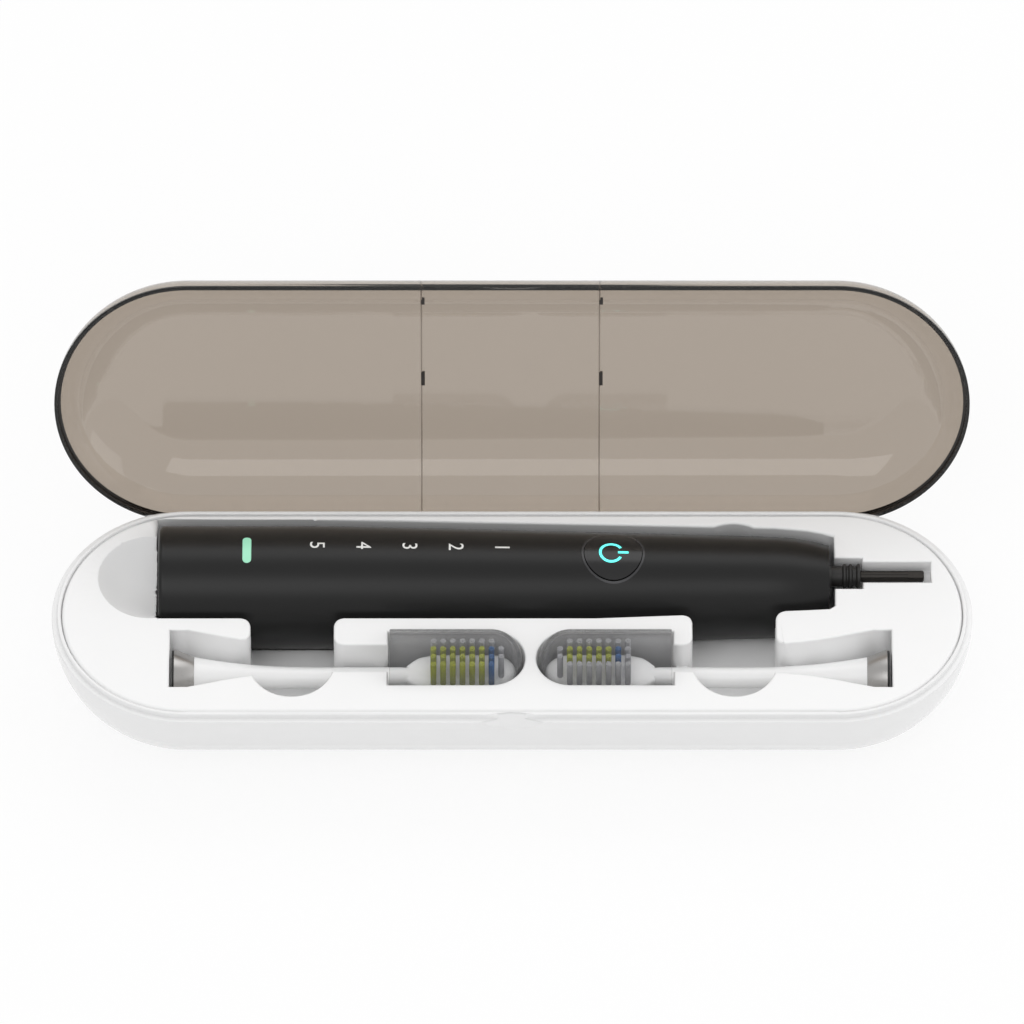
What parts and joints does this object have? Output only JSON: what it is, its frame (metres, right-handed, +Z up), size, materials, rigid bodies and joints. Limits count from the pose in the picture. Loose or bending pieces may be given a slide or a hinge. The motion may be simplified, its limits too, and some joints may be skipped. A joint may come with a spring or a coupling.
{
  "type": "sonic toothbrush in a charging travel case",
  "caption": "Sonic toothbrush with capped spare brush heads, lying in a hinged travel case that charges the handle; the lid, heads, caps, shaft and power button all move.",
  "frame": {"origin": "centre of the plane that the feet stand on, under the middle of the case's base", "axes": "+X along the case towards the handle's drive shaft, +Y towards the hinge, +Z up"},
  "size_m": [0.21, 0.0943, 0.0773],
  "materials": {
    "base_gloss": "gloss moulded ABS",
    "tray_satin": "satin moulded liner",
    "smoke_clear": "smoked clear polycarbonate",
    "cap_clear": "clear moulded polystyrene",
    "handle_black": "satin soft-touch black",
    "button_black": "gloss black",
    "trim_grey": "smooth dark grey",
    "mint_lens": "translucent light guide",
    "head_white": "gloss white",
    "ring_metal": "turned and brushed",
    "rubber_black": "matt",
    "tuft_yellow": "nylon filament",
    "tuft_blue": "nylon filament",
    "tuft_clear": "nylon filament",
    "steel": "bright",
    "copper": "enamelled winding wire",
    "ferrite": "sintered",
    "board_green": "solder mask",
    "part_black": "moulded packages",
    "inner_plastic": "plain moulding",
    "cell_wrap": "shrink wrap",
    "seal_orange": "silicone",
    "bronze": "sintered"
  },
  "bodies": {
    "case": {"base_shell": "base_gloss", "tray": "tray_satin", "case_feet": "rubber_black", "hinge_pins": "steel", "transmit_coil": "copper", "transmit_ferrite": "ferrite", "coil_leads": "seal_orange", "charger_board": "board_green", "charger_parts": "part_black", "charging_inlet": "steel", "board_screws": "steel"},
    "lid": {"lid": "smoke_clear"},
    "handle": {"handle_shell": "handle_black", "end_cap": "handle_black", "end_seal": "seal_orange", "chassis": "inner_plastic", "battery": "cell_wrap", "battery_tabs": "steel", "receiver_coil": "copper", "receiver_core": "ferrite", "circuit_board": "board_green", "board_chips": "part_black", "mode_lights": "inner_plastic", "tact_switch": "steel", "button_ring": "trim_grey", "charge_lens": "mint_lens", "motor_case": "steel", "stator_coil": "copper", "motor_bearings": "bronze", "shaft_seal": "rubber_black", "nose_collar": "rubber_black"},
    "drive": {"drive_shaft": "handle_black", "rotor_magnet": "steel"},
    "button": {"power_button": "button_black"},
    "left_brush": {"left_head": "head_white", "left_ring": "ring_metal", "left_seal": "rubber_black", "left_socket": "inner_plastic", "left_tufts_yellow": "tuft_yellow", "left_tufts_blue": "tuft_blue", "left_tufts_clear": "tuft_clear"},
    "left_cover": {"left_cap": "cap_clear"},
    "right_brush": {"right_head": "head_white", "right_ring": "ring_metal", "right_seal": "rubber_black", "right_socket": "inner_plastic", "right_tufts_yellow": "tuft_yellow", "right_tufts_blue": "tuft_blue", "right_tufts_clear": "tuft_clear"},
    "right_cover": {"right_cap": "cap_clear"}
  },
  "joints": [
    {"name": "lid_hinge", "type": "hinge", "parent": "case", "child": "lid", "pos_m": [0, 0.02926, 0.02278], "axis": [1, 0, 0], "range_deg": [0, 112]},
    {"name": "handle_lift", "type": "slide", "parent": "case", "child": "handle", "axis": [0, 0, -1], "range_m": [-0.07, 0]},
    {"name": "shaft_swing", "type": "hinge", "parent": "handle", "child": "drive", "pos_m": [0.0797, 0.01285, 0.0239], "axis": [1, 0, 0], "range_deg": [-5, 5], "stiffness_Nm_per_rad": 0.02},
    {"name": "button_press", "type": "slide", "parent": "handle", "child": "button", "axis": [0, 0, -1], "range_m": [0, 0.0004], "stiffness_N_per_m": 800},
    {"name": "left_brush_lift", "type": "slide", "parent": "case", "child": "left_brush", "axis": [0, 0, -1], "range_m": [-0.05, 0]},
    {"name": "left_cap_lift", "type": "slide", "parent": "left_brush", "child": "left_cover", "axis": [0, 0, -1], "range_m": [-0.03, 0]},
    {"name": "right_brush_lift", "type": "slide", "parent": "case", "child": "right_brush", "axis": [0, 0, -1], "range_m": [-0.05, 0]},
    {"name": "right_cap_lift", "type": "slide", "parent": "right_brush", "child": "right_cover", "axis": [0, 0, -1], "range_m": [-0.03, 0]}
  ]
}
